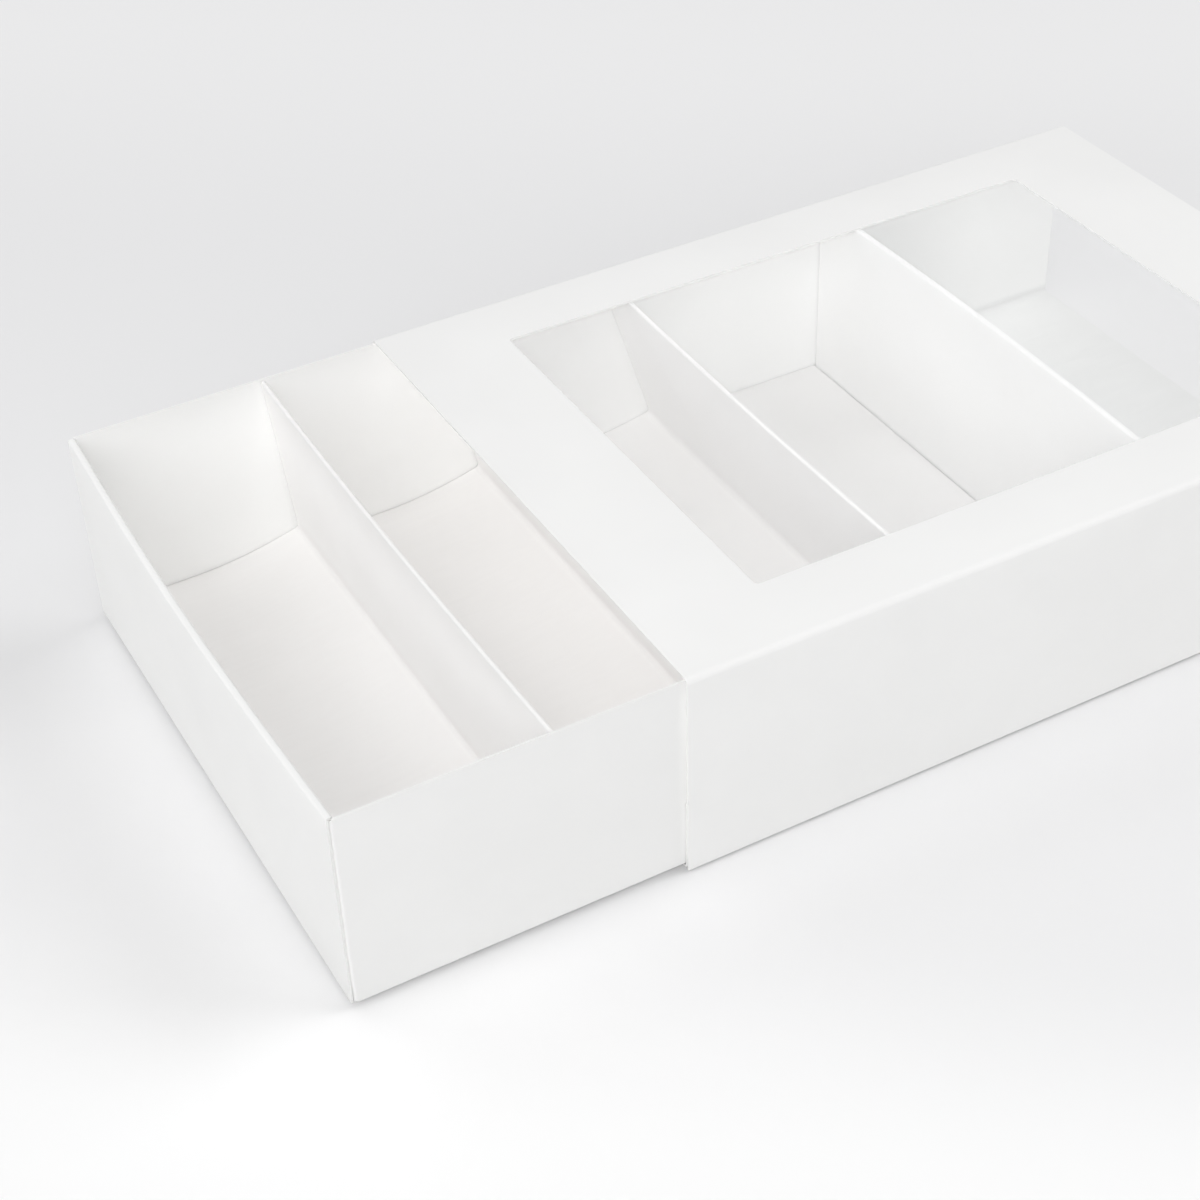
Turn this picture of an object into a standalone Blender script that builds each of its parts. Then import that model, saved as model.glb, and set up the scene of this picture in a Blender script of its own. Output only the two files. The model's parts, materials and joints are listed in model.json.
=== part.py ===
"""Macaron box: a folded card sleeve with a film window, and a sliding card tray with a folded divider insert.

Metres, +Z up. The tray slides along X inside the sleeve and stands part of the way out at its -X end.
Every card piece is one die-cut blank: a sheet that is folded first and given its thickness afterwards.
"""

import math

import bmesh
import bpy
from mathutils import Matrix, Vector

# Card, film and glue
CARD = 0.00045
FILM = 0.00012
GLUE = 0.00006
BOND_GAP = 0.00002
LAYER_GAP = 0.00015
SEAT_GAP = 0.0003

# Creases: the radius on the inner side of each kind of fold
CREASE_INNER = 0.00035
RIM_CREASE_INNER = 0.00012
SLEEVE_CREASE_INNER = 0.0010
BEND_STEPS = 4

# Tray: outer sizes when folded
TRAY_LENGTH = 0.2000
TRAY_WIDTH = 0.1410
TRAY_HEIGHT = 0.0493
CORNER_TAB_LENGTH = 0.0360
CORNER_TAB_TAPER = 0.0050
END_BOW = 0.0016
BOW_POWER_SHARE = 1.4
END_STATIONS = 14
PANEL_ROWS = 5

# Insert: one strip of card folded up into ridges between the rows
ROW_COUNT = 4
INSERT_END_GAP = 0.0003
INSERT_SIDE_GAP = 0.0002
INSERT_LIFT = 0.0009
RIDGE_AIR = 0.00015
RIDGE_DROP = 0.0003
RIDGE_LEANS = (0.0046, 0.0098, 0.0140)
RIDGE_BOW = 0.0009
FOOT_RADIUS = 0.0012
FOOT_INSET = 0.0008
STRIP_RISES = (0.0044, 0.0042, 0.0034)
STRIP_RISE_LENGTH = 0.0300
STRIP_ROWS = 10
INSERT_STATIONS = 12

# Sleeve and its window
SLEEVE_OVERHANG = 0.0003
SIDE_CLEARANCE = 0.0003
TOP_CLEARANCE = 0.00025
PULL_OUT = 0.0746
GLUE_FLAP_WIDTH = 0.0180
GLUE_FLAP_TAPER = 0.0050
GLUE_MARGIN = 0.0030
WINDOW_FRONT_MARGIN = 0.0270
WINDOW_BACK_MARGIN = 0.0283
WINDOW_NEAR_MARGIN = 0.0184
WINDOW_FAR_MARGIN = 0.0172
WINDOW_CORNER = 0.0010
WINDOW_CORNER_STEPS = 4
FILM_LAP = 0.0080
CUT_OVERRUN = 0.0050

# Colours
CARD_WHITE = (0.86, 0.86, 0.85, 1.0)
INSERT_WHITE = (0.87, 0.86, 0.84, 1.0)
FILM_CLEAR = (0.95, 0.96, 0.97, 0.16)
GLUE_CLEAR = (0.85, 0.84, 0.78, 0.6)

# Sizes that follow from those above
HALF_CARD = CARD / 2
FOLD = CREASE_INNER + HALF_CARD
SLEEVE_FOLD = SLEEVE_CREASE_INNER + HALF_CARD
RIM_FOLD = min(RIM_CREASE_INNER + HALF_CARD, CARD)
LAYER_PITCH = CARD + LAYER_GAP
GLUE_PITCH = GLUE + 2 * BOND_GAP

END_STACK = 3 * CARD + 2 * LAYER_GAP
ROW_PITCH = (TRAY_LENGTH - 2 * END_STACK - 2 * INSERT_END_GAP) / ROW_COUNT

SLEEVE_LENGTH = TRAY_LENGTH + 2 * SLEEVE_OVERHANG
SLEEVE_WIDTH = TRAY_WIDTH + 2 * SIDE_CLEARANCE + 3 * CARD + GLUE_PITCH
SLEEVE_HEIGHT = TRAY_HEIGHT + SEAT_GAP + TOP_CLEARANCE + FILM + GLUE_PITCH + 2 * CARD

# Places: the origin is the middle of the whole box's underside, as it stands with its tray drawn out
TRAY_X = (END_BOW - PULL_OUT - SLEEVE_LENGTH) / 2
TRAY_Y = -SLEEVE_WIDTH / 2 + 2 * CARD + GLUE_PITCH + SIDE_CLEARANCE
TRAY_Z = CARD + SEAT_GAP
SLEEVE_X = TRAY_X + PULL_OUT
SLEEVE_Y = -SLEEVE_WIDTH / 2


def clear_scene():
    for thing in list(bpy.data.objects):
        bpy.data.objects.remove(thing, do_unlink=True)


def new_collection(name):
    group = bpy.data.collections.new(name)
    bpy.context.scene.collection.children.link(group)
    return group


def finish(name, colour, roughness):
    material = bpy.data.materials.new(name)
    material.use_nodes = True
    shader = material.node_tree.nodes["Principled BSDF"]
    shader.inputs["Base Color"].default_value = colour
    shader.inputs["Alpha"].default_value = colour[3]
    shader.inputs["Roughness"].default_value = roughness
    shader.inputs["Metallic"].default_value = 0.0
    return material


def add_object(name, sheet, group, material=None, parent=None):
    """Turns a bmesh into a named object of the box."""
    mesh = bpy.data.meshes.new(name)
    sheet.to_mesh(mesh)
    sheet.free()
    piece = bpy.data.objects.new(name, mesh)
    group.objects.link(piece)
    if material:
        mesh.materials.append(material)
    piece.parent = parent
    return piece


def thicken(piece, thickness):
    """Gives a folded sheet its thickness, half of it on each side."""
    solidify = piece.modifiers.new("card thickness", "SOLIDIFY")
    solidify.thickness = thickness
    solidify.offset = 0.0
    solidify.use_even_offset = True
    solidify.use_quality_normals = True


def cut(piece, cutter):
    boolean = piece.modifiers.new("cut " + cutter.name, "BOOLEAN")
    boolean.operation = "DIFFERENCE"
    boolean.solver = "EXACT"
    boolean.object = cutter


def folded_path(corners, radii, rows=None):
    """A section through folded card: straight panels, with an arc at each corner that has a radius.

    Gives each point with its place along the panels: 2 anywhere on the third panel, and 2 to 3 round the
    fold after it. rows says into how many lengths each panel is divided, and is 0 where the folds at a
    panel's two ends meet and leave nothing of it.
    """
    rows = rows or [1] * (len(corners) - 1)
    path = [(corners[0], 0.0)]
    for panel, count in enumerate(rows):
        end = corners[panel + 1]
        arc = []
        if panel < len(radii):
            arc = fold_arc(corners[panel], end, corners[panel + 2], radii[panel])
            end = arc[0]
        start = path[-1][0]
        for row in range(1, count + 1):
            path.append((start.lerp(end, row / count), float(panel)))
        for number, point in enumerate(arc[1:], 1):
            path.append((point, panel + number / (len(arc) - 1)))
    return path


def fold_arc(before, corner, after, radius):
    """The points of the arc that rounds one corner, or the corner alone where it has no radius."""
    if not radius:
        return [corner]
    back = (before - corner).normalized()
    ahead = (after - corner).normalized()
    half = back.angle(ahead) / 2
    centre = corner + (back + ahead).normalized() * (radius / math.sin(half))
    start = corner + back * (radius / math.tan(half))
    side = 1 if back.x * ahead.y - back.y * ahead.x < 0 else -1
    turn = side * (math.pi - 2 * half) / BEND_STEPS
    return [centre + Matrix.Rotation(turn * step, 2) @ (start - centre) for step in range(BEND_STEPS + 1)]


def between_panels(values, place):
    """The value at a place along the panels, blended round the folds."""
    panel = min(int(place), len(values) - 1)
    following = min(panel + 1, len(values) - 1)
    return values[panel] + (values[following] - values[panel]) * (place - panel)


def folded_sheet(path, stations, position):
    """A flat grid of card, one column for each point of the path, put where position says."""
    sheet = bmesh.new()
    columns = len(path) - 1
    bmesh.ops.create_grid(sheet, x_segments=columns, y_segments=stations, size=0.5)
    for vertex in sheet.verts:
        column = round((vertex.co.x + 0.5) * columns)
        across_share = vertex.co.y + 0.5
        point, place = path[column]
        vertex.co = position(point, place, across_share)
    return sheet


def fold_out(sheet, edge, moves):
    """Grows panels from an edge, one for each move, and gives the last edge."""
    for move in moves:
        made = bmesh.ops.extrude_edge_only(sheet, edges=[edge])["geom"]
        ends = [item for item in made if isinstance(item, bmesh.types.BMVert)]
        bmesh.ops.translate(sheet, verts=ends, vec=move)
        edge = sheet.edges.get(ends)
    return edge


def nearest_edge(sheet, first, second):
    """The edge whose two ends lie nearest to the two places."""
    def miss(edge):
        a, b = (vertex.co for vertex in edge.verts)
        return min((a - first).length + (b - second).length, (b - first).length + (a - second).length)
    return min(sheet.edges, key=miss)


def quarter_fold(radius, start, end):
    """Moves that turn a panel's edge from running along start to running along end."""
    steps = range(BEND_STEPS + 1)
    angles = [math.pi / 2 * step / BEND_STEPS for step in steps]
    points = [start * radius * math.sin(angle) + end * radius * (1 - math.cos(angle)) for angle in angles]
    return [after - before for before, after in zip(points, points[1:])]


def box_between(low, high, corner=0.0, corner_steps=1):
    """A block between two corners, with its upright edges rounded where corner is given."""
    block = bmesh.new()
    bmesh.ops.create_cube(block, size=1.0)
    bmesh.ops.scale(block, vec=high - low, verts=block.verts)
    bmesh.ops.translate(block, vec=(high + low) / 2, verts=block.verts)
    if corner:
        upright = [edge for edge in block.edges if edge.verts[0].co.xy == edge.verts[1].co.xy]
        bmesh.ops.bevel(
            block, geom=upright, offset=corner, segments=corner_steps, profile=0.5, affect="EDGES"
        )
    return block


def make_tray(group, parent):
    """The tray blank: base, side walls, corner tabs, and end walls rolled over the tabs."""
    outer_x = HALF_CARD
    inner_x = HALF_CARD + 2 * LAYER_PITCH
    tab_x = HALF_CARD + LAYER_PITCH
    side_y = HALF_CARD
    base_z = HALF_CARD
    rim_z = TRAY_HEIGHT - HALF_CARD
    foot_z = CARD + LAYER_GAP
    wall_start = tab_x + FOLD
    side_fold_y = side_y + FOLD

    # The section from one end to the other, which every width of the sheet repeats
    half = [
        Vector((inner_x, foot_z)),
        Vector((inner_x, rim_z)),
        Vector((outer_x, rim_z)),
        Vector((outer_x, base_z)),
        Vector((wall_start, base_z)),
    ]
    corners = half + [Vector((TRAY_LENGTH - point.x, point.y)) for point in reversed(half)]
    half_radii = [RIM_FOLD, RIM_FOLD, FOLD, 0]
    radii = half_radii + half_radii[::-1]
    half_rows = [PANEL_ROWS, 1, PANEL_ROWS, 1]
    path = folded_path(corners, radii, half_rows + [1] + half_rows[::-1])

    # How far each panel stops short of the tray's sides
    end_inset = LAYER_GAP
    inner_inset = side_fold_y + LAYER_GAP
    half_insets = [inner_inset, (inner_inset + end_inset) / 2, end_inset, side_fold_y]
    insets = half_insets + [side_fold_y] + half_insets[::-1]

    def position(point, place, across_share):
        inset = between_panels(insets, place)
        y = inset + (TRAY_WIDTH - 2 * inset) * across_share
        return Vector((point.x, y, point.y))

    sheet = folded_sheet(path, END_STATIONS, position)
    for side in (1, -1):
        add_side_wall(sheet, side, wall_start, side_fold_y, base_z)
    for vertex in sheet.verts:
        vertex.co.x += end_bow(vertex.co, base_z, rim_z)
    bmesh.ops.recalc_face_normals(sheet, faces=sheet.faces)

    material = finish("tray_card", CARD_WHITE, 0.62)
    tray = add_object("tray", sheet, group, material, parent)
    thicken(tray, CARD)
    return tray


def add_side_wall(sheet, side, wall_start, fold_y, base_z):
    """Folds one side wall up from the base, and a tab round from each of its ends."""
    outward = Vector((0, -side, 0))
    up = Vector((0, 0, 1))
    y = fold_y if side > 0 else TRAY_WIDTH - fold_y
    near_end = Vector((wall_start, y, base_z))
    far_end = Vector((TRAY_LENGTH - wall_start, y, base_z))
    crease = nearest_edge(sheet, near_end, far_end)
    crease = fold_out(sheet, crease, quarter_fold(FOLD, outward, up))
    low = [vertex.co.copy() for vertex in crease.verts]
    wall_height = TRAY_HEIGHT - low[0].z
    fold_out(sheet, crease, [up * wall_height])

    for foot in low:
        along = Vector((-1 if foot.x < TRAY_LENGTH / 2 else 1, 0, 0))
        edge = nearest_edge(sheet, foot, foot + up * wall_height)
        drop = 2 * LAYER_PITCH / BEND_STEPS
        for move in quarter_fold(FOLD, along, -outward):
            edge = fold_out(sheet, edge, [move])
            top = max(edge.verts, key=lambda vertex: vertex.co.z)
            top.co.z -= drop
        tab_rows = PANEL_ROWS
        edge = fold_out(sheet, edge, [-outward * (CORNER_TAB_LENGTH / tab_rows)] * tab_rows)
        top, bottom = sorted(edge.verts, key=lambda vertex: -vertex.co.z)
        top.co.z -= CORNER_TAB_TAPER
        bottom.co.z += CORNER_TAB_TAPER


def end_bow(place, base_z, rim_z):
    """How far the end wall springs outward at a place: most at the middle of its rim, nothing at its foot."""
    height_share = max(0.0, (place.z - base_z) / (rim_z - base_z))
    width_share = min(max(place.y / TRAY_WIDTH, 0.0), 1.0)
    reach = END_BOW * height_share ** BOW_POWER_SHARE * math.sin(math.pi * width_share)
    return -reach if place.x < TRAY_LENGTH / 2 else reach


def make_insert(group, parent):
    """The divider insert: floor strips with a doubled ridge of card standing between each two."""
    start = END_STACK + INSERT_END_GAP
    low = CARD + INSERT_LIFT + HALF_CARD
    top = TRAY_HEIGHT - RIDGE_DROP - HALF_CARD
    layer_pitch = CARD + RIDGE_AIR

    corners = [Vector((start, low))]
    radii = []
    rows = [STRIP_ROWS]
    feet = []
    for number, (lean, rise) in enumerate(zip(RIDGE_LEANS, STRIP_RISES), 1):
        # The two layers stand layer_pitch apart square to their lean, and one half round joins their tops
        slope = lean / (top - low)
        spacing = layer_pitch / math.cos(math.atan(slope))
        foot = start + number * ROW_PITCH - spacing / 2
        corners += [
            Vector((foot, low)),
            Vector((foot - lean, top)),
            Vector((foot - lean + spacing, top)),
            Vector((foot + spacing, low)),
        ]
        radii += [FOOT_RADIUS, layer_pitch / 2, layer_pitch / 2, FOLD]
        rows += [1, 0, 1, STRIP_ROWS]
        feet.append((foot, Vector((-slope, 1.0)) * rise))
    corners.append(Vector((TRAY_LENGTH - start, low)))
    path = folded_path(corners, radii, rows)
    ridge_shares = [0] + [1, 1, 1, 0] * len(RIDGE_LEANS)

    def position(point, place, across_share):
        ridge_share = between_panels(ridge_shares, place)
        height_share = (point.y - low) / (top - low)
        inset = CARD + INSERT_SIDE_GAP + (FOOT_INSET - INSERT_SIDE_GAP) * ridge_share * (1 - height_share)
        bow = RIDGE_BOW * ridge_share * height_share * math.sin(math.pi * across_share)
        spring = strip_spring(point.x, feet) * (1 - height_share)
        y = inset + (TRAY_WIDTH - 2 * inset) * across_share
        return Vector((point.x + spring.x - bow, y, point.y + spring.y))

    sheet = folded_sheet(path, INSERT_STATIONS, position)
    bmesh.ops.recalc_face_normals(sheet, faces=sheet.faces)
    material = finish("insert_card", INSERT_WHITE, 0.66)
    insert = add_object("divider_insert", sheet, group, material, parent)
    thicken(insert, CARD)
    return insert


def strip_spring(x, feet):
    """How far a floor strip has sprung at x: towards the ridge after it, it curves up along that ridge's lean."""
    for foot, full_spring in feet:
        share = (x - foot) / STRIP_RISE_LENGTH + 1
        if 0 < share < 1:
            return full_spring * share ** 2
    return Vector((0.0, 0.0))


def make_sleeve(group, cutters, parent):
    """The sleeve blank: four panels round the tray, closed by a flap glued inside the near side."""
    near_y = HALF_CARD
    far_y = SLEEVE_WIDTH - HALF_CARD
    flap_y = near_y + CARD + GLUE_PITCH
    bottom_z = HALF_CARD
    top_z = SLEEVE_HEIGHT - HALF_CARD
    flap_top = bottom_z + GLUE_FLAP_WIDTH
    corners = [
        Vector((near_y, LAYER_GAP)),
        Vector((near_y, top_z)),
        Vector((far_y, top_z)),
        Vector((far_y, bottom_z)),
        Vector((flap_y, bottom_z)),
        Vector((flap_y, flap_top)),
    ]
    path = folded_path(corners, [SLEEVE_FOLD] * 4)

    def position(point, place, across_share):
        taper = GLUE_FLAP_TAPER if point.y == flap_top and place == 4 else 0.0
        x = taper + (SLEEVE_LENGTH - 2 * taper) * across_share
        return Vector((x, point.x, point.y))

    sheet = folded_sheet(path, 1, position)
    bmesh.ops.recalc_face_normals(sheet, faces=sheet.faces)
    sleeve = add_object("sleeve", sheet, group, finish("sleeve_card", CARD_WHITE, 0.6), parent)
    thicken(sleeve, CARD)

    low, high = window_corners()
    low.z = top_z - CUT_OVERRUN
    high.z = top_z + CUT_OVERRUN
    block = box_between(low, high, WINDOW_CORNER, WINDOW_CORNER_STEPS)
    cutter = add_object("window_cutter", block, cutters, parent=parent)
    cutter.hide_render = True
    cutter.display_type = "WIRE"
    cut(sleeve, cutter)
    return sleeve


def window_corners():
    """The window's two opposite corners on the sleeve's top, measured from the sleeve's near front corner."""
    low = Vector((WINDOW_FRONT_MARGIN, WINDOW_NEAR_MARGIN, 0))
    high = Vector((SLEEVE_LENGTH - WINDOW_BACK_MARGIN, SLEEVE_WIDTH - WINDOW_FAR_MARGIN, 0))
    return low, high


def make_window(group, cutters, parent):
    """The clear film behind the window, and the band of glue that holds it to the card."""
    low, high = window_corners()
    lap = Vector((FILM_LAP, FILM_LAP, 0))
    panel_z = SLEEVE_HEIGHT - CARD
    film_top = Vector((0, 0, panel_z - GLUE_PITCH))
    film_bottom = film_top - Vector((0, 0, FILM))
    block = box_between(low - lap + film_bottom, high + lap + film_top)
    film = add_object("window_film", block, group, finish("clear_film", FILM_CLEAR, 0.08), parent)

    band_top = Vector((0, 0, panel_z - BOND_GAP))
    band_bottom = band_top - Vector((0, 0, GLUE))
    edge = Vector((FILM_LAP / 4, FILM_LAP / 4, 0))
    block = box_between(low - lap + edge + band_bottom, high + lap - edge + band_top)
    band = add_object("window_glue_band", block, group, finish("window_glue", GLUE_CLEAR, 0.3), parent)
    overrun = Vector((0, 0, CUT_OVERRUN))
    hole = box_between(low - edge + band_bottom - overrun, high + edge + band_top + overrun)
    cutter = add_object("glue_band_cutter", hole, cutters, parent=parent)
    cutter.hide_render = True
    cutter.display_type = "WIRE"
    cut(band, cutter)
    return film, band


def make_seam_glue(group, parent):
    """The strip of glue between the sleeve's flap and its near side."""
    inner_y = CARD + BOND_GAP
    low = Vector((GLUE_FLAP_TAPER + GLUE_MARGIN, inner_y, CARD + GLUE_MARGIN))
    high = Vector((SLEEVE_LENGTH - low.x, inner_y + GLUE, GLUE_FLAP_WIDTH - GLUE_MARGIN))
    strip = box_between(low, high)
    return add_object("seam_glue_strip", strip, group, finish("seam_glue", GLUE_CLEAR, 0.3), parent)


def add_origin(name, group, place):
    origin = bpy.data.objects.new(name, None)
    origin.location = place
    group.objects.link(origin)
    return origin


def main():
    clear_scene()
    group = new_collection("macaron_box")
    cutters = new_collection("cutters")
    sleeve_origin = add_origin("sleeve_corner", group, (SLEEVE_X, SLEEVE_Y, 0))
    tray_origin = add_origin("tray_slide", group, (TRAY_X, TRAY_Y, TRAY_Z))

    make_sleeve(group, cutters, sleeve_origin)
    make_seam_glue(group, sleeve_origin)
    make_window(group, cutters, sleeve_origin)
    make_tray(group, tray_origin)
    make_insert(group, tray_origin)


main()
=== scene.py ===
"""The macaron box as it is photographed: white card, clear film, a pale table and a soft light tent.

Metres, +Z up, in the part's own frame. The box stands on the table with its tray drawn out towards -X.
"""

import json
import math

import bmesh
import bpy
from mathutils import Matrix, Vector
from mathutils.bvhtree import BVHTree

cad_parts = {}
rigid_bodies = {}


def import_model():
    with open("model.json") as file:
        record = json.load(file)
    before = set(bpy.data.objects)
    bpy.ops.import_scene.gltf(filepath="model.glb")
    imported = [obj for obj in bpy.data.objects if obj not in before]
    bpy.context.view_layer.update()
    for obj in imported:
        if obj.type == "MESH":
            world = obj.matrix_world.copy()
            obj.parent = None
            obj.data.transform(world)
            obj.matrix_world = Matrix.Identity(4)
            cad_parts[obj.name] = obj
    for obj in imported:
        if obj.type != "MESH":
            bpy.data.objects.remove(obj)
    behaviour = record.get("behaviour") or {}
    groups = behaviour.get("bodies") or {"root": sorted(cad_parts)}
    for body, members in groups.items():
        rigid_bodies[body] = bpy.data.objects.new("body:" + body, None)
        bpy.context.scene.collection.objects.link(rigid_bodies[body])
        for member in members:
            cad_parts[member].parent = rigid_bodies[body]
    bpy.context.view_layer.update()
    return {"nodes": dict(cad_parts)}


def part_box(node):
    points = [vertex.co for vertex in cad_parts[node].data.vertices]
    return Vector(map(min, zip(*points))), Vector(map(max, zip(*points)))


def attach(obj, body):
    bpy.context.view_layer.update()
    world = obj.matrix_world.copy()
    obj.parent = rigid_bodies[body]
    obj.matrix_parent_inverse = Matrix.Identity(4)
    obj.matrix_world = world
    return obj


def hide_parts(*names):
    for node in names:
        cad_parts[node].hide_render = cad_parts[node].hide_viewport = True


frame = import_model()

# The board is CARD thick, and corners within WELD of each other are one corner. Behind a face that the die cut, the
# board is more than CUT_DEPTH times as deep as it is thick.
CARD = 0.00045
WELD = 0.00001
CUT_DEPTH = 1.6

# A crease turns by less than SMOOTH_ANGLE at each of its steps, and a cut edge by more than SQUARE_ANGLE
SMOOTH_ANGLE = math.radians(40)
SQUARE_ANGLE = math.radians(85)

# Two triangles become one four-sided face where it bends and skews by less than these
FLAT_ANGLE = math.radians(10)
SKEW_ANGLE = math.radians(60)

# From the tray's drawn-out end to a place under the insert's first strip
FIRST_STRIP = 0.02

# The material slots of a blank
COATED, CUT, BARE = range(3)

# The camera's place, the directions of its right and its top, its sensor's width and its focal length in mm
CAMERA_PLACE = (-0.23271, -0.35965, 0.33840)
CAMERA_RIGHT = (0.87272, -0.48737, -0.02864)
CAMERA_UP = (0.32377, 0.53386, 0.78113)
CAMERA_SENSOR = 36.0
CAMERA_LENS = 69.5

# The table lies a little under the box, for its contact line
TABLE_SIZE = 6.0
TABLE_GAP = 0.0005

# The table's painted light brightens it in this direction, between these two distances along it from the box's middle
TOWARDS_VIEWER = math.radians(-127)
FADE_FAR = -0.30
FADE_NEAR = 0.17

# The tent's strength as light on the box and as it is seen, and the part of it that is left straight down
TENT_LEVEL = 0.2
TENT_SEEN = 0.9
TENT_FOOT = 0.9
TENT_WHITE = (1.0, 1.0, 1.0, 1.0)

# The share of the lamps' light that passes each face of the board, set above real board's
SLEEVE_GLOW = 0.84
TRAY_GLOW = 0.72
INSERT_GLOW = 0.78

# Heights over the table, for three changes from below to above: from board that lies on the table to board that
# passes light, from the sleeve's floor, darkened by painted shade, to its sides, and from the insert's strips,
# darkened by painted shade, to its ridges
PRESSED = (0.0012, 0.006)
FLOOR_SHADE_HEIGHTS = (0.0012, 0.003)
STRIP_SHADE_HEIGHTS = (0.004, 0.012)

# Each look goes from a darker to a lighter white
COATED_WHITE = ((0.855, 0.855, 0.85), (0.875, 0.875, 0.87))
# The bare side's white is the board's own uncoated finish, set lighter than the coated side as painted light for the
# box's inside
BARE_WHITE_AND_PAINTED_LIGHT = ((0.898, 0.90, 0.893), (0.918, 0.92, 0.913))
RIDGE_WHITE = ((0.866, 0.859, 0.855), (0.886, 0.879, 0.875))
# Painted shade on the insert's strips, darker than its ridges
STRIP_PAINTED_SHADE = ((0.826, 0.819, 0.813), (0.836, 0.829, 0.823))
# Painted shade on the sleeve's floor, low down inside it
FLOOR_PAINTED_SHADE = ((0.725, 0.73, 0.725), (0.76, 0.765, 0.76))
CUT_WHITE = ((0.82, 0.82, 0.812), (0.87, 0.87, 0.862))
GLUE_WHITE = ((0.80, 0.79, 0.73), (0.88, 0.87, 0.82))
PASSED_LIGHT = (1.0, 0.995, 0.99, 1.0)
FILM_TINT = (0.95, 0.96, 0.97, 1.0)

# The table as it is seen, from far to near, with painted shade around the box and painted light towards the viewer, and
# as it throws light back on the box
TABLE_SEEN_WITH_PAINTED_SHADING = (
    (0.0, (0.84, 0.84, 0.845, 1.0)),
    (0.36, (0.79, 0.79, 0.797, 1.0)),
    (0.58, (0.79, 0.79, 0.797, 1.0)),
    (0.86, (0.82, 0.82, 0.825, 1.0)),
    (1.0, (0.925, 0.925, 0.925, 1.0)),
)
TABLE_BOUNCE = (0.74, 0.74, 0.74, 1.0)

# The middle range of a noise, which is spread over a material's whole range of colours or values
NOISE_LOW = 0.3
NOISE_HIGH = 0.7

# How a pattern is squeezed along X, Y and Z
EVEN = (1, 1, 1)
FIBRES_ALONG_X = (1, 4, 4)
FIBRES_ALONG_Y = (4, 1, 4)
# Streaks in the painted shade low down
STREAKS_ALONG_X = (1, 14, 14)
GLUE_ALONG_X = (1, 6, 6)
RIPPLE_ALONG_Y = (1, 0.6, 1)

# The patterns: scale per metre and detail, and roughness where it isn't the usual one
CLOUDS = (35, 3)
FIBRES = (900, 4, 0.6)
TOOTH = (4200, 2)
WAVES = (22, 1)
# Streaks in the painted shade low down
SHADE_STREAKS = (60, 3)
CUT_FIBRES = (2600, 4, 0.7)
FILM_RIPPLE = (16, 2)
FILM_HAZE = (60, 3)
GLUE_STREAKS = (120, 4, 0.6)
TABLE_GRAIN = (500, 3)

# The bumps: strength, and height in metres
WAVE_BUMP = (0.12, 0.0006)
FIBRE_BUMP = (0.10, 0.00006)
TOOTH_BUMP = (0.08, 0.00003)
CUT_BUMP = (0.15, 0.00005)
RIPPLE_BUMP = (0.25, 0.002)
GLUE_BUMP = (0.4, 0.0001)
GRAIN_BUMP = (0.05, 0.0002)

# How rough and how shiny each finish is
CARD_ROUGHNESS = (0.56, 0.70)
CARD_SHEEN = 0.2
CUT_ROUGHNESS = 0.9
CUT_SHEEN = 0.1
FILM_ROUGHNESS = (0.10, 0.18)
FILM_METALLIC = 0.5
GLUE_ROUGHNESS = (0.22, 0.45)
GLUE_ALPHA = 0.6
TABLE_ROUGHNESS = 0.8
TABLE_SHEEN = 0.1

# The film's gloss after Schlick: all of it at a grazing angle, and this share straight on. It is set above clear
# film's own, for the veil that the photograph shows.
FILM_STRAIGHT_ON = 0.13
SCHLICK_POWER = 5.0

# The Mix node's sockets for colours
MIX_FIRST, MIX_SECOND, MIX_RESULT = 6, 7, 2

# The lamps: name, place, width in metres and power in watts. All aim at the box.
LAMPS = (
    ("low left lamp", (-2.45, -1.35, 1.15), 1.0, 14),
    ("left softbox", (-2.4, 0.6, 1.6), 2.0, 12),
    ("front softbox", (-1.4, -2.2, 1.9), 2.4, 53),
    ("right softbox", (2.1, -0.6, 2.2), 2.0, 40),
    ("back softbox", (-0.8, 2.2, 2.2), 2.2, 29),
)


# --- modelling helpers ---------------------------------------------------------------------------


def pick(piece):
    """Selects one piece alone and makes it the active one."""
    bpy.ops.object.select_all(action="DESELECT")
    piece.select_set(True)
    bpy.context.view_layer.objects.active = piece


def lift_copy(node_name, name):
    """Takes a welded copy of a folded blank, as four-sided faces with clean normals."""
    pick(frame["nodes"][node_name])
    bpy.ops.object.duplicate()
    piece = bpy.context.active_object
    bpy.ops.object.parent_clear(type="CLEAR_KEEP_TRANSFORM")
    bpy.ops.object.transform_apply(location=True, rotation=True, scale=True)
    piece.name = name
    piece.data.name = name
    piece.data.materials.clear()
    bpy.ops.mesh.customdata_custom_splitnormals_clear()
    bpy.ops.object.mode_set(mode="EDIT")
    bpy.ops.mesh.select_all(action="SELECT")
    bpy.ops.mesh.remove_doubles(threshold=WELD)
    bpy.ops.mesh.tris_convert_to_quads(face_threshold=FLAT_ANGLE, shape_threshold=SKEW_ANGLE)
    bpy.ops.mesh.select_all(action="DESELECT")
    bpy.ops.object.mode_set(mode="OBJECT")
    return piece


def paint(piece, *materials):
    for material in materials:
        piece.data.materials.append(material)


def smooth(piece):
    pick(piece)
    bpy.ops.object.shade_smooth_by_angle(angle=SMOOTH_ANGLE)


def hand_over(piece, body, slot, *nodes):
    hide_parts(*nodes)
    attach(piece, body)


# --- material helpers ----------------------------------------------------------------------------


def new_material(name):
    material = bpy.data.materials.new(name)
    material.use_nodes = True
    tree = material.node_tree
    shader = tree.nodes["Principled BSDF"]
    return material, tree, shader


def node(tree, kind, **settings):
    made = tree.nodes.new(kind)
    for key, value in settings.items():
        setattr(made, key, value)
    return made


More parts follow.
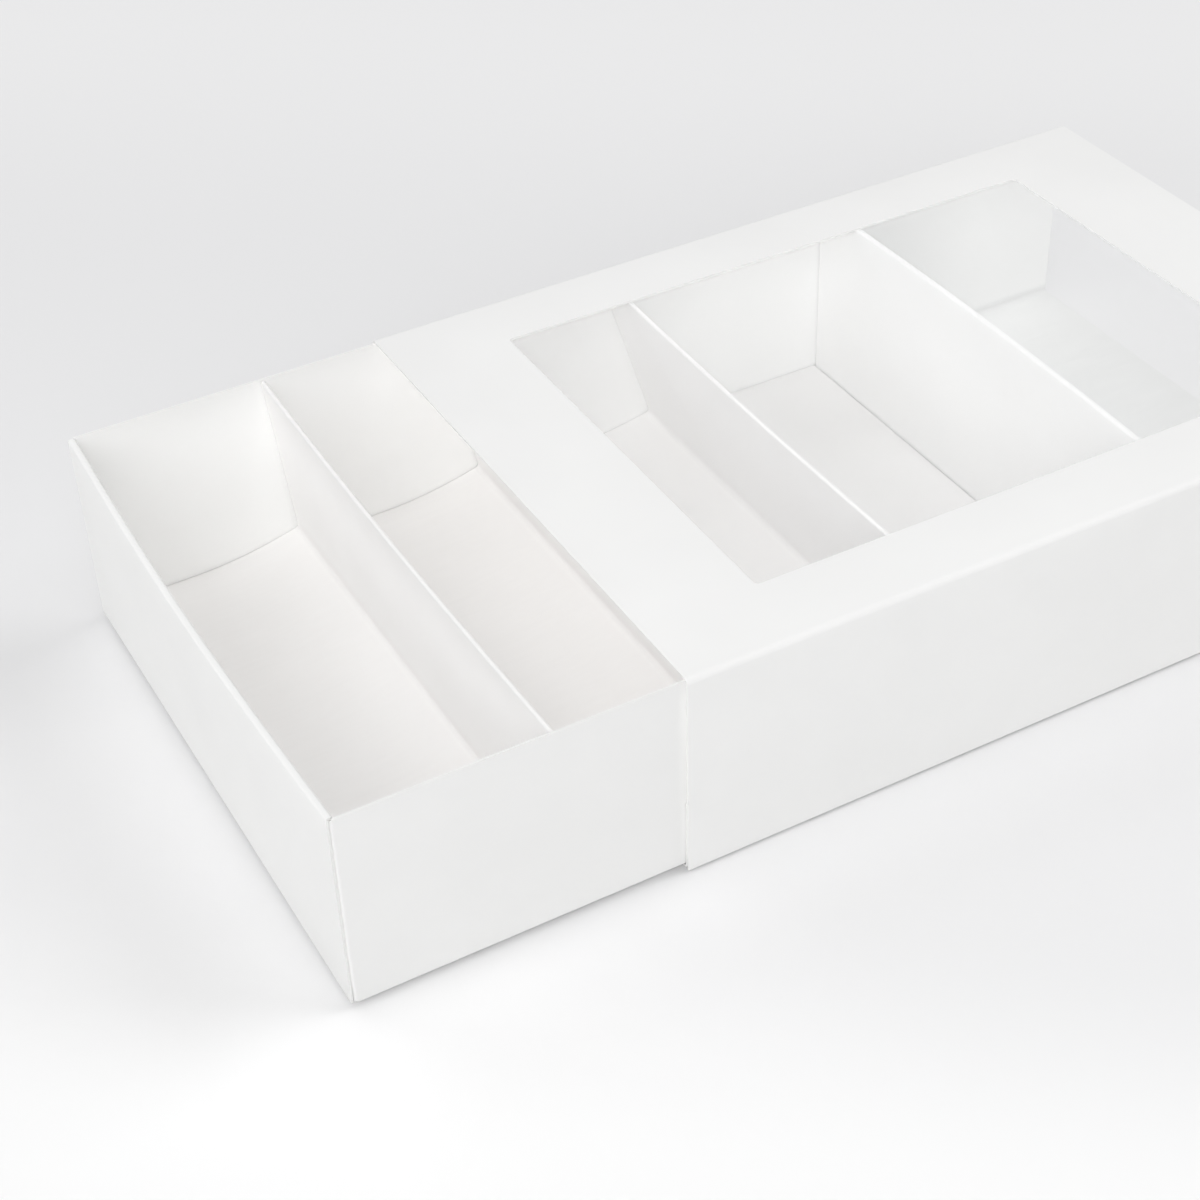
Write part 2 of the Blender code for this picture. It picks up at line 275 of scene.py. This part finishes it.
def noise(tree, squeeze, scale, detail, roughness=0.5):
    """Noise on the piece's own object coordinates, squeezed along X, Y and Z."""
    place = node(tree, "ShaderNodeTexCoord")
    turn = node(tree, "ShaderNodeMapping")
    turn.inputs["Scale"].default_value = squeeze
    made = node(tree, "ShaderNodeTexNoise")
    made.inputs["Scale"].default_value = scale
    made.inputs["Detail"].default_value = detail
    made.inputs["Roughness"].default_value = roughness
    tree.links.new(place.outputs["Object"], turn.inputs["Vector"])
    tree.links.new(turn.outputs["Vector"], made.inputs["Vector"])
    return made.outputs["Fac"]


def ramp(tree, source, low_colour, high_colour):
    """Spreads a noise's middle range over the colours from low to high."""
    made = node(tree, "ShaderNodeValToRGB")
    first, last = made.color_ramp.elements
    first.position = NOISE_LOW
    first.color = (*low_colour, 1.0)
    last.position = NOISE_HIGH
    last.color = (*high_colour, 1.0)
    tree.links.new(source, made.inputs["Fac"])
    return made.outputs["Color"]


def spread(tree, source, low, high):
    """Spreads a noise's middle range over the values from low to high."""
    made = node(tree, "ShaderNodeMapRange")
    made.inputs["From Min"].default_value = NOISE_LOW
    made.inputs["From Max"].default_value = NOISE_HIGH
    made.inputs["To Min"].default_value = low
    made.inputs["To Max"].default_value = high
    tree.links.new(source, made.inputs["Value"])
    return made.outputs["Result"]


def bump(tree, height, strength, distance, under=None):
    made = node(tree, "ShaderNodeBump")
    made.inputs["Strength"].default_value = strength
    made.inputs["Distance"].default_value = distance
    tree.links.new(height, made.inputs["Height"])
    if under:
        tree.links.new(under, made.inputs["Normal"])
    return made.outputs["Normal"]


def above(tree, low, high, under, over):
    """Goes from one value to the other between two heights over the table."""
    place = node(tree, "ShaderNodeTexCoord")
    split = node(tree, "ShaderNodeSeparateXYZ")
    made = node(tree, "ShaderNodeMapRange")
    made.inputs["From Min"].default_value = low
    made.inputs["From Max"].default_value = high
    made.inputs["To Min"].default_value = under
    made.inputs["To Max"].default_value = over
    tree.links.new(place.outputs["Object"], split.inputs["Vector"])
    tree.links.new(split.outputs["Z"], made.inputs["Value"])
    return made.outputs["Result"]


def card_face(name, white, fibre_way, glow, painted_shade=None, shade_heights=None):
    """White box board: faint cloudiness, short fibres and a fine tooth, with painted shade low down if it has one."""
    material, tree, shader = new_material(name)
    clouds = noise(tree, EVEN, *CLOUDS)
    fibres = noise(tree, fibre_way, *FIBRES)
    tooth = noise(tree, EVEN, *TOOTH)
    waves = noise(tree, EVEN, *WAVES)
    colour = ramp(tree, clouds, *white)
    # Painted shade low down, with faint streaks in it
    if painted_shade:
        streaks = noise(tree, STREAKS_ALONG_X, *SHADE_STREAKS)
        mix = node(tree, "ShaderNodeMix", data_type="RGBA")
        tree.links.new(above(tree, *shade_heights, 0.0, 1.0), mix.inputs["Factor"])
        tree.links.new(ramp(tree, streaks, *painted_shade), mix.inputs[MIX_FIRST])
        tree.links.new(colour, mix.inputs[MIX_SECOND])
        colour = mix.outputs[MIX_RESULT]
    tree.links.new(colour, shader.inputs["Base Color"])
    tree.links.new(spread(tree, fibres, *CARD_ROUGHNESS), shader.inputs["Roughness"])
    normal = bump(tree, waves, *WAVE_BUMP)
    normal = bump(tree, fibres, *FIBRE_BUMP, normal)
    normal = bump(tree, tooth, *TOOTH_BUMP, normal)
    tree.links.new(normal, shader.inputs["Normal"])
    shader.inputs["Specular IOR Level"].default_value = CARD_SHEEN

    # White board this thin passes a part of the lamps' light on, but not where it lies on the table
    rays = node(tree, "ShaderNodeLightPath")
    share = node(tree, "ShaderNodeMath", operation="MULTIPLY")
    tree.links.new(above(tree, *PRESSED, 0.0, glow), share.inputs[1])
    passing = node(tree, "ShaderNodeBsdfTransparent")
    passing.inputs["Color"].default_value = PASSED_LIGHT
    mix = node(tree, "ShaderNodeMixShader")
    tree.links.new(rays.outputs["Is Shadow Ray"], share.inputs[0])
    tree.links.new(share.outputs["Value"], mix.inputs["Fac"])
    tree.links.new(shader.outputs["BSDF"], mix.inputs[1])
    tree.links.new(passing.outputs["BSDF"], mix.inputs[2])
    tree.links.new(mix.outputs["Shader"], tree.nodes["Material Output"].inputs["Surface"])
    return material


def card_edge(name):
    """The board where the die cut it: bare fibres with no coating."""
    material, tree, shader = new_material(name)
    fibres = noise(tree, EVEN, *CUT_FIBRES)
    tree.links.new(ramp(tree, fibres, *CUT_WHITE), shader.inputs["Base Color"])
    tree.links.new(bump(tree, fibres, *CUT_BUMP), shader.inputs["Normal"])
    shader.inputs["Roughness"].default_value = CUT_ROUGHNESS
    shader.inputs["Specular IOR Level"].default_value = CUT_SHEEN
    return material


def clear_film(name):
    """Clear window film: light goes straight through, with a soft gloss that grows towards the rim of the view."""
    material, tree, shader = new_material(name)
    ripple = noise(tree, RIPPLE_ALONG_Y, *FILM_RIPPLE)
    haze = noise(tree, EVEN, *FILM_HAZE)
    normal = bump(tree, ripple, *RIPPLE_BUMP)
    tree.links.new(normal, shader.inputs["Normal"])
    tree.links.new(spread(tree, haze, *FILM_ROUGHNESS), shader.inputs["Roughness"])
    shader.inputs["Base Color"].default_value = FILM_TINT
    shader.inputs["Metallic"].default_value = FILM_METALLIC

    # Gloss by the angle of view, and none of it for shadow rays, so that the lamps' light passes the film whole
    facing = node(tree, "ShaderNodeLayerWeight")
    facing.inputs["Blend"].default_value = 0.5
    power = node(tree, "ShaderNodeMath", operation="POWER")
    power.inputs[1].default_value = SCHLICK_POWER
    gloss = node(tree, "ShaderNodeMapRange")
    gloss.inputs["To Min"].default_value = FILM_STRAIGHT_ON
    rays = node(tree, "ShaderNodeLightPath")
    unlit = node(tree, "ShaderNodeMath", operation="SUBTRACT", use_clamp=True)
    through = node(tree, "ShaderNodeBsdfTransparent")
    mix = node(tree, "ShaderNodeMixShader")
    tree.links.new(normal, facing.inputs["Normal"])
    tree.links.new(facing.outputs["Facing"], power.inputs[0])
    tree.links.new(power.outputs["Value"], gloss.inputs["Value"])
    tree.links.new(gloss.outputs["Result"], unlit.inputs[0])
    tree.links.new(rays.outputs["Is Shadow Ray"], unlit.inputs[1])
    tree.links.new(unlit.outputs["Value"], mix.inputs["Fac"])
    tree.links.new(through.outputs["BSDF"], mix.inputs[1])
    tree.links.new(shader.outputs["BSDF"], mix.inputs[2])
    tree.links.new(mix.outputs["Shader"], tree.nodes["Material Output"].inputs["Surface"])
    return material


def dried_glue(name):
    """Dried glue: thin, a little milky, with brush-width streaks."""
    material, tree, shader = new_material(name)
    streaks = noise(tree, GLUE_ALONG_X, *GLUE_STREAKS)
    tree.links.new(ramp(tree, streaks, *GLUE_WHITE), shader.inputs["Base Color"])
    tree.links.new(spread(tree, streaks, *GLUE_ROUGHNESS), shader.inputs["Roughness"])
    tree.links.new(bump(tree, streaks, *GLUE_BUMP), shader.inputs["Normal"])
    shader.inputs["Alpha"].default_value = GLUE_ALPHA
    return material


def seen_rays(tree):
    """1 where a ray comes from the camera, or from gloss or clear film, and 0 for the light on the box."""
    rays = node(tree, "ShaderNodeLightPath")
    first = node(tree, "ShaderNodeMath", operation="MAXIMUM")
    second = node(tree, "ShaderNodeMath", operation="MAXIMUM")
    tree.links.new(rays.outputs["Is Camera Ray"], first.inputs[0])
    tree.links.new(rays.outputs["Is Glossy Ray"], first.inputs[1])
    tree.links.new(first.outputs["Value"], second.inputs[0])
    tree.links.new(rays.outputs["Is Transmission Ray"], second.inputs[1])
    return second.outputs["Value"]


def table_top(name):
    """The pale sheet under the box. For the camera it brightens towards the viewer, as the photograph's does."""
    material, tree, shader = new_material(name)
    place = node(tree, "ShaderNodeTexCoord")
    turn = node(tree, "ShaderNodeMapping", vector_type="TEXTURE")
    turn.inputs["Rotation"].default_value = (0.0, 0.0, TOWARDS_VIEWER)
    split = node(tree, "ShaderNodeSeparateXYZ")
    fade = node(tree, "ShaderNodeMapRange")
    fade.inputs["From Min"].default_value = FADE_FAR
    fade.inputs["From Max"].default_value = FADE_NEAR
    # Painted light and shade for the camera: darker around the box, brighter towards the viewer
    seen = node(tree, "ShaderNodeValToRGB")
    seen.color_ramp.interpolation = "EASE"
    steps = seen.color_ramp.elements
    steps[0].color = TABLE_SEEN_WITH_PAINTED_SHADING[0][1]
    steps[1].color = TABLE_SEEN_WITH_PAINTED_SHADING[-1][1]
    for place_between, colour in TABLE_SEEN_WITH_PAINTED_SHADING[1:-1]:
        steps.new(place_between).color = colour
    grain = noise(tree, EVEN, *TABLE_GRAIN)
    tree.links.new(place.outputs["Object"], turn.inputs["Vector"])
    tree.links.new(turn.outputs["Vector"], split.inputs["Vector"])
    tree.links.new(split.outputs["X"], fade.inputs["Value"])
    tree.links.new(fade.outputs["Result"], seen.inputs["Fac"])
    choose = node(tree, "ShaderNodeMix", data_type="RGBA")
    tree.links.new(seen_rays(tree), choose.inputs["Factor"])
    choose.inputs[MIX_FIRST].default_value = TABLE_BOUNCE
    tree.links.new(seen.outputs["Color"], choose.inputs[MIX_SECOND])
    tree.links.new(choose.outputs[MIX_RESULT], shader.inputs["Base Color"])
    tree.links.new(bump(tree, grain, *GRAIN_BUMP), shader.inputs["Normal"])
    shader.inputs["Roughness"].default_value = TABLE_ROUGHNESS
    shader.inputs["Specular IOR Level"].default_value = TABLE_SHEEN
    return material


# --- the box -------------------------------------------------------------------------------------


def show_cut_edges(piece):
    """Gives the cut board's look to the faces that the die cut: the board behind them is deeper than it is thick."""
    mesh = bmesh.new()
    mesh.from_mesh(piece.data)
    board = BVHTree.FromBMesh(mesh)
    for face in mesh.faces:
        inwards = -face.normal
        _, _, _, depth = board.ray_cast(face.calc_center_median() + inwards * WELD, inwards)
        if depth and depth > CARD * CUT_DEPTH:
            face.material_index = CUT
    mesh.to_mesh(piece.data)
    mesh.free()


def show_bare_side(piece, place):
    """Gives the blank's uncoated side its look, from the face at a place out to the cut edges."""
    pick(piece)
    bpy.ops.object.mode_set(mode="EDIT")
    bpy.ops.mesh.select_mode(type="EDGE")
    bpy.ops.mesh.select_all(action="DESELECT")
    bpy.ops.mesh.edges_select_sharp(sharpness=SQUARE_ANGLE)
    bpy.ops.mesh.mark_seam()
    bpy.ops.mesh.select_mode(type="FACE")
    bpy.ops.mesh.select_all(action="DESELECT")
    bpy.ops.object.mode_set(mode="OBJECT")
    _, _, _, face = piece.closest_point_on_mesh(place)
    piece.data.polygons[face].select = True
    bpy.ops.object.mode_set(mode="EDIT")
    bpy.ops.mesh.select_linked(delimit={"MATERIAL", "SEAM"})
    piece.active_material_index = BARE
    bpy.ops.object.material_slot_assign()
    bpy.ops.mesh.select_all(action="DESELECT")
    bpy.ops.object.mode_set(mode="OBJECT")


def dress_blank(node_name, name, body, slot, coated, bare, bare_place):
    """One folded blank: coated side, bare side and cut edges, with round creases."""
    piece = lift_copy(node_name, name)
    paint(piece, coated, board_edge, bare)
    show_cut_edges(piece)
    show_bare_side(piece, bare_place)
    smooth(piece)
    hand_over(piece, body, slot, node_name)


board_edge = card_edge("die-cut board edge")
# The bare sides are set lighter as painted light, and the sleeve's floor and the insert's strips carry painted shade
sleeve_outside = card_face("sleeve coated side", COATED_WHITE, FIBRES_ALONG_X, SLEEVE_GLOW)
sleeve_inside = card_face("sleeve bare side", BARE_WHITE_AND_PAINTED_LIGHT, FIBRES_ALONG_X, SLEEVE_GLOW, FLOOR_PAINTED_SHADE, FLOOR_SHADE_HEIGHTS)
tray_outside = card_face("tray coated side", COATED_WHITE, FIBRES_ALONG_Y, TRAY_GLOW)
tray_inside = card_face("tray bare side", BARE_WHITE_AND_PAINTED_LIGHT, FIBRES_ALONG_Y, TRAY_GLOW)
insert_top = card_face("insert coated side", RIDGE_WHITE, FIBRES_ALONG_Y, INSERT_GLOW, STRIP_PAINTED_SHADE, STRIP_SHADE_HEIGHTS)
insert_bare = card_face("insert bare side", BARE_WHITE_AND_PAINTED_LIGHT, FIBRES_ALONG_Y, INSERT_GLOW)
film_clear = clear_film("window film")
glue_dry = dried_glue("dried glue")

sleeve_low, sleeve_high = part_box("sleeve")
tray_low, tray_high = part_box("tray")
sleeve_floor = ((sleeve_low.x + sleeve_high.x) / 2, 0.0, sleeve_low.z + CARD)
tray_floor = ((tray_low.x + tray_high.x) / 2, 0.0, tray_low.z + CARD)
insert_under = (tray_low.x + FIRST_STRIP, 0.0, tray_low.z + CARD)

dress_blank("sleeve", "sleeve_blank", "sleeve", "sleeve_card", sleeve_outside, sleeve_inside, sleeve_floor)
dress_blank("tray", "tray_blank", "tray", "tray_card", tray_outside, tray_inside, tray_floor)
dress_blank("divider_insert", "ridged_insert", "tray", "insert_card", insert_top, insert_bare, insert_under)

# The film and the glue keep their CAD shapes
for node_name, material in (
    ("window_film", film_clear),
    ("window_glue_band", glue_dry),
    ("seam_glue_strip", glue_dry),
):
    kept = frame["nodes"][node_name]
    kept.data.materials.clear()
    paint(kept, material)


# --- table, tent, lamps and camera ---------------------------------------------------------------


def soft_lamp(name, place, size, power):
    """A square softbox that faces the box. Only shadow rays find it, so the board's whole share of its light passes."""
    bpy.ops.object.light_add(type="AREA", location=place)
    lamp = bpy.context.active_object
    lamp.name = name
    lamp.data.size = size
    lamp.data.energy = power
    lamp.data.cycles.use_multiple_importance_sampling = False
    lamp.rotation_euler = (-Vector(place)).to_track_quat("-Z", "Y").to_euler()


def light_tent(name):
    """A white tent all round, a little darker towards the ground. It is brighter where it is seen than as light."""
    tent = bpy.data.worlds.new(name)
    tent.use_nodes = True
    tree = tent.node_tree
    sky = tree.nodes["Background"]
    sky.inputs["Color"].default_value = TENT_WHITE
    level = node(tree, "ShaderNodeMapRange")
    level.inputs["To Min"].default_value = TENT_LEVEL
    level.inputs["To Max"].default_value = TENT_SEEN
    tree.links.new(seen_rays(tree), level.inputs["Value"])
    rise = node(tree, "ShaderNodeMapRange")
    rise.inputs["From Min"].default_value = -1.0
    rise.inputs["To Min"].default_value = TENT_FOOT
    height = node(tree, "ShaderNodeSeparateXYZ")
    towards = node(tree, "ShaderNodeTexCoord")
    lift = node(tree, "ShaderNodeMath", operation="MULTIPLY")
    tree.links.new(towards.outputs["Object"], height.inputs["Vector"])
    tree.links.new(height.outputs["Z"], rise.inputs["Value"])
    tree.links.new(rise.outputs["Result"], lift.inputs[0])
    tree.links.new(level.outputs["Result"], lift.inputs[1])
    tree.links.new(lift.outputs["Value"], sky.inputs["Strength"])
    return tent


def photo_camera(name):
    """The camera at the photograph's place. Its three directions are squared up from the two that are given."""
    lens = bpy.data.cameras.new(name)
    lens.sensor_width = CAMERA_SENSOR
    lens.lens = CAMERA_LENS
    camera = bpy.data.objects.new(name, lens)
    bpy.context.scene.collection.objects.link(camera)
    right = Vector(CAMERA_RIGHT).normalized()
    back = right.cross(Vector(CAMERA_UP)).normalized()
    up = back.cross(right)
    camera.matrix_world = Matrix.Translation(CAMERA_PLACE) @ Matrix((right, up, back)).transposed().to_4x4()
    return camera


bpy.ops.object.select_all(action="DESELECT")
bpy.ops.mesh.primitive_plane_add(size=TABLE_SIZE, location=(0, 0, -TABLE_GAP))
table = bpy.context.active_object
table.name = "table"
paint(table, table_top("table white"))

for lamp_settings in LAMPS:
    soft_lamp(*lamp_settings)

bpy.context.scene.world = light_tent("light tent")
bpy.context.scene.camera = photo_camera("camera")
bpy.context.scene.view_settings.view_transform = "Standard"
